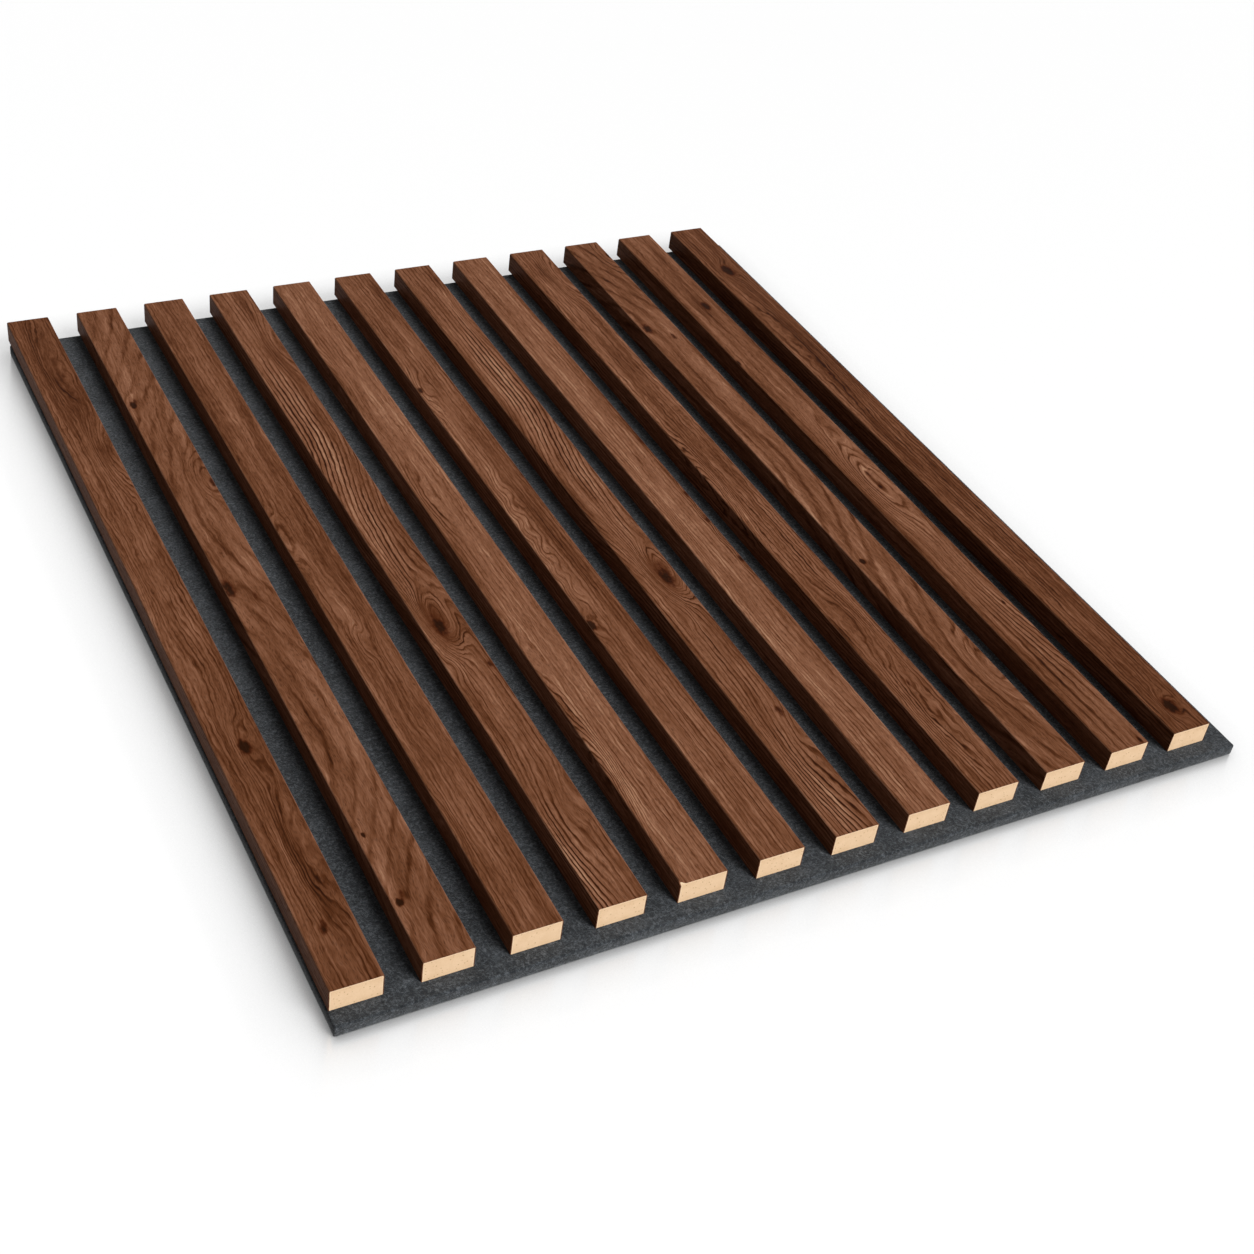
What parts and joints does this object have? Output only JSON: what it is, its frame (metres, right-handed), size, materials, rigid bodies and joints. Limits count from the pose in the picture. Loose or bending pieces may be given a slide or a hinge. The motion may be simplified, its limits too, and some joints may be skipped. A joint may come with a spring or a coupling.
{
  "type": "acoustic slat wall panel",
  "caption": "Acoustic wall panel: a row of fibreboard slats wrapped in walnut veneer, stapled side by side on a sheet of dark felt that laps past them.",
  "frame": {"origin": "middle of the panel's outer box, on the surface that the back of the felt lies on", "axes": "+X across the slats towards the wide felt lap, +Y along the slats from the near ends with the felt strip to the far ends, +Z out of the slatted face"},
  "size_m": [0.598, 0.671, 0.023],
  "materials": {
    "felt": "matte needled felt",
    "fibreboard": "sawn, uncoated",
    "walnut_veneer": "satin lacquer",
    "staple_wire": "galvanised"
  },
  "bodies": {
    "root": {"felt_backing": "felt", "slat_core_01": "fibreboard", "slat_core_02": "fibreboard", "slat_core_03": "fibreboard", "slat_core_04": "fibreboard", "slat_core_05": "fibreboard", "slat_core_06": "fibreboard", "slat_core_07": "fibreboard", "slat_core_08": "fibreboard", "slat_core_09": "fibreboard", "slat_core_10": "fibreboard", "slat_core_11": "fibreboard", "slat_core_12": "fibreboard", "slat_veneer_01": "walnut_veneer", "slat_veneer_02": "walnut_veneer", "slat_veneer_03": "walnut_veneer", "slat_veneer_04": "walnut_veneer", "slat_veneer_05": "walnut_veneer", "slat_veneer_06": "walnut_veneer", "slat_veneer_07": "walnut_veneer", "slat_veneer_08": "walnut_veneer", "slat_veneer_09": "walnut_veneer", "slat_veneer_10": "walnut_veneer", "slat_veneer_11": "walnut_veneer", "slat_veneer_12": "walnut_veneer", "staples": "staple_wire"}
  },
  "joints": []
}
